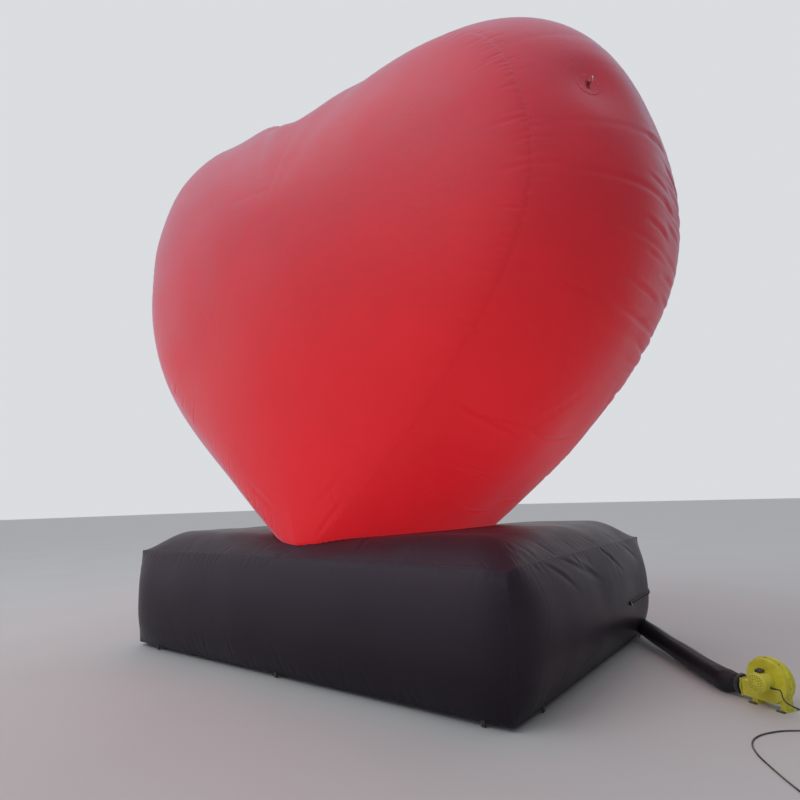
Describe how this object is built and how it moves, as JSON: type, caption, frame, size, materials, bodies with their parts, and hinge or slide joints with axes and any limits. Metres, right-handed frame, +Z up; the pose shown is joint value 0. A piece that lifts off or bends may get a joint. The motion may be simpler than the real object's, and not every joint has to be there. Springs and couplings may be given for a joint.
{
  "type": "inflatable heart on a plinth",
  "caption": "Walk-up sized inflatable heart of red coated cloth on a black inflated plinth, with tether points, ground loops, a deflation zip, an inflation tube and a floor blower.",
  "frame": {"origin": "middle of the plinth's underside, on the ground", "axes": "+Z up, +X along the plinth's length towards the blower, -Y the way the heart faces"},
  "size_m": [7.4567, 3.37, 6.2567],
  "materials": {
    "red_cloth": "satin coated polyester",
    "red_webbing": "woven webbing",
    "steel": "plated steel",
    "black_cloth": "satin coated polyester",
    "black_webbing": "woven webbing",
    "lime_plastic": "moulded, slightly glossy",
    "dark_plastic": "moulded, matt",
    "black_rubber": "smooth, matt"
  },
  "bodies": {
    "inflatable": {"heart_front_right": "red_cloth", "heart_front_left": "red_cloth", "heart_back_right": "red_cloth", "heart_back_left": "red_cloth", "heart_band_upper_right": "red_cloth", "heart_band_upper_left": "red_cloth", "heart_band_lower_right": "red_cloth", "heart_band_lower_left": "red_cloth", "tether_patch_front_right": "red_cloth", "tether_patch_back_right": "red_cloth", "tether_patch_front_left": "red_cloth", "tether_patch_back_left": "red_cloth", "tether_strap_front_right": "red_webbing", "tether_strap_back_right": "red_webbing", "tether_strap_front_left": "red_webbing", "tether_strap_back_left": "red_webbing", "tether_ring_front_right": "steel", "tether_ring_back_right": "steel", "tether_ring_front_left": "steel", "tether_ring_back_left": "steel", "zip_pull": "steel", "plinth_front": "black_cloth", "plinth_back": "black_cloth", "plinth_left": "black_cloth", "plinth_right": "black_cloth", "plinth_top": "black_cloth", "plinth_bottom": "black_cloth", "tube_cuff": "black_cloth", "inflation_tube": "black_cloth", "ground_loop_front_1": "black_webbing", "ground_loop_front_2": "black_webbing", "ground_loop_front_3": "black_webbing", "ground_loop_back_1": "black_webbing", "ground_loop_back_2": "black_webbing", "ground_loop_back_3": "black_webbing", "ground_loop_right_1": "black_webbing", "ground_loop_right_2": "black_webbing", "ground_loop_left_1": "black_webbing", "ground_loop_left_2": "black_webbing", "zip_tape": "black_webbing", "tube_clamp_strap": "black_webbing", "blower_scroll_motor_side": "lime_plastic", "blower_scroll_inlet_side": "lime_plastic", "blower_spout": "lime_plastic", "blower_motor_housing": "lime_plastic", "blower_foot_outlet_side": "lime_plastic", "blower_foot_far_side": "lime_plastic", "blower_inlet_grille": "dark_plastic", "lead_strain_relief": "dark_plastic", "lead_plug": "dark_plastic", "mains_lead": "black_rubber", "lead_coil": "black_rubber"},
    "rotor": {"impeller": "dark_plastic"}
  },
  "joints": [
    {"name": "impeller_spin", "type": "hinge", "parent": "inflatable", "child": "rotor", "pos_m": [3.5, -0.21, 0.172], "axis": [0.5, 0.866, 0], "continuous": true}
  ]
}
